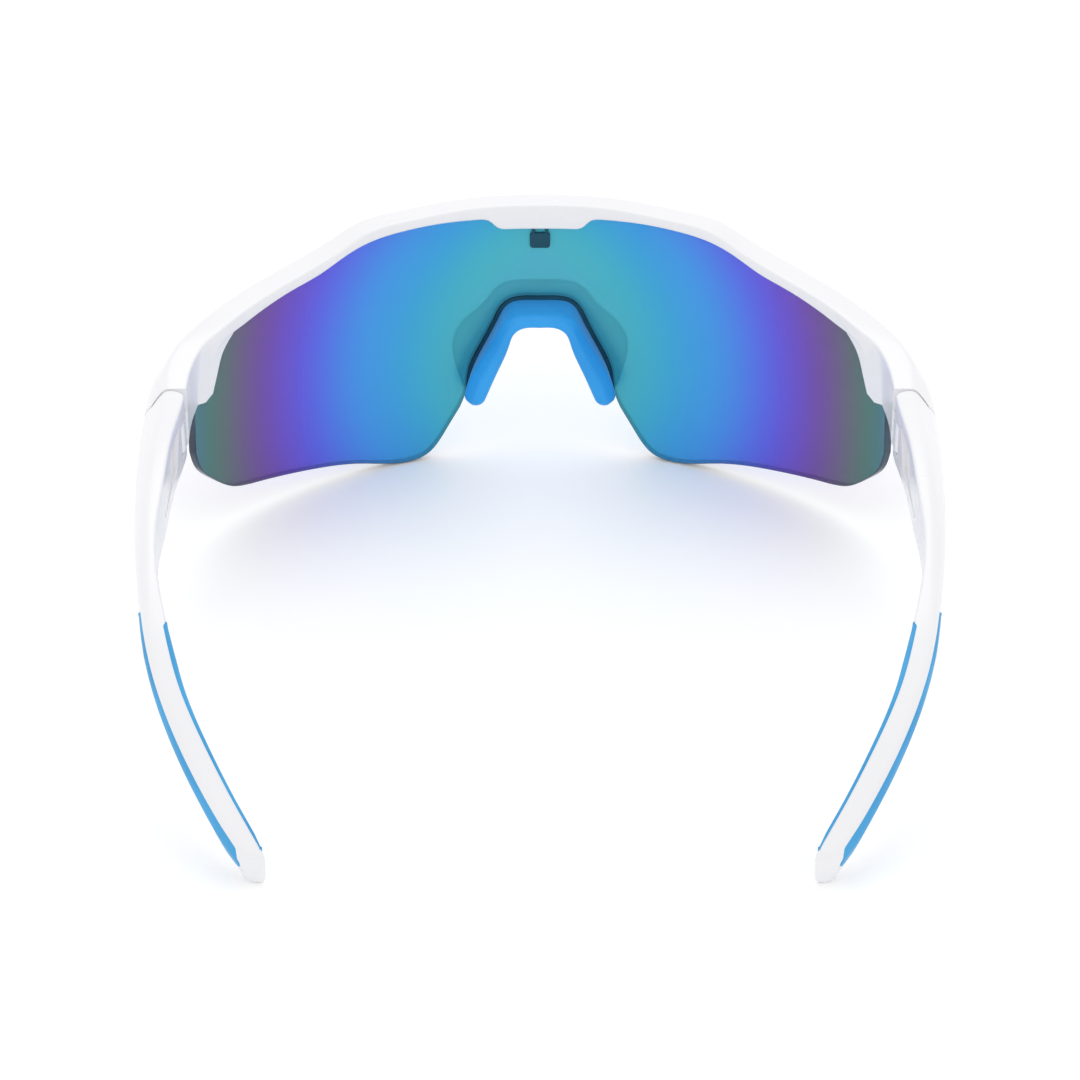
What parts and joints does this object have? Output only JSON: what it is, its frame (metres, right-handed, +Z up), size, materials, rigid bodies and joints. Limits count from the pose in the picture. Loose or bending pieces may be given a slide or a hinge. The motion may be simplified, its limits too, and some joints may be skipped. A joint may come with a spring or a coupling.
{
  "type": "wraparound sport sunglasses",
  "caption": "Wraparound sport sunglasses: half frame round one mirrored shield lens, rubber nose saddle, and folding temples with rubber grips let into their sides.",
  "frame": {"origin": "on the ground under the middle of the glasses as they stand open on the lens's lower edge and the temple tips", "axes": "+Z up, -Y the way the outer face of the lens looks, X = 0 the plane of symmetry, +X the wearer's left"},
  "size_m": [0.1492, 0.1562, 0.0535],
  "materials": {
    "frame_white": "glossy injection moulded",
    "lens_mirror": "mirror coated polycarbonate",
    "clip_smoke": "smoked, satin",
    "carrier_grey": "translucent grey",
    "rubber_blue": "matt soft-touch",
    "screw_steel": "machined",
    "insert_brass": "machined"
  },
  "bodies": {
    "front": {"frame": "frame_white", "lens": "lens_mirror", "lens_clip": "clip_smoke", "nose_carrier": "carrier_grey", "nose_pad": "rubber_blue"},
    "left_arm": {"left_temple": "frame_white", "left_outer_grip": "rubber_blue", "left_inner_grip": "rubber_blue", "left_hinge_screw": "screw_steel", "left_hinge_insert": "insert_brass", "left_hinge_cover": "frame_white"},
    "right_arm": {"right_temple": "frame_white", "right_outer_grip": "rubber_blue", "right_inner_grip": "rubber_blue", "right_hinge_screw": "screw_steel", "right_hinge_insert": "insert_brass", "right_hinge_cover": "frame_white"}
  },
  "joints": [
    {"name": "left_temple_fold", "type": "hinge", "parent": "front", "child": "left_arm", "pos_m": [0.0697, -0.0213, 0.031], "axis": [0, 0, 1], "range_deg": [0, 88]},
    {"name": "right_temple_fold", "type": "hinge", "parent": "front", "child": "right_arm", "pos_m": [-0.0697, -0.0213, 0.031], "axis": [0, 0, -1], "range_deg": [0, 75]}
  ]
}
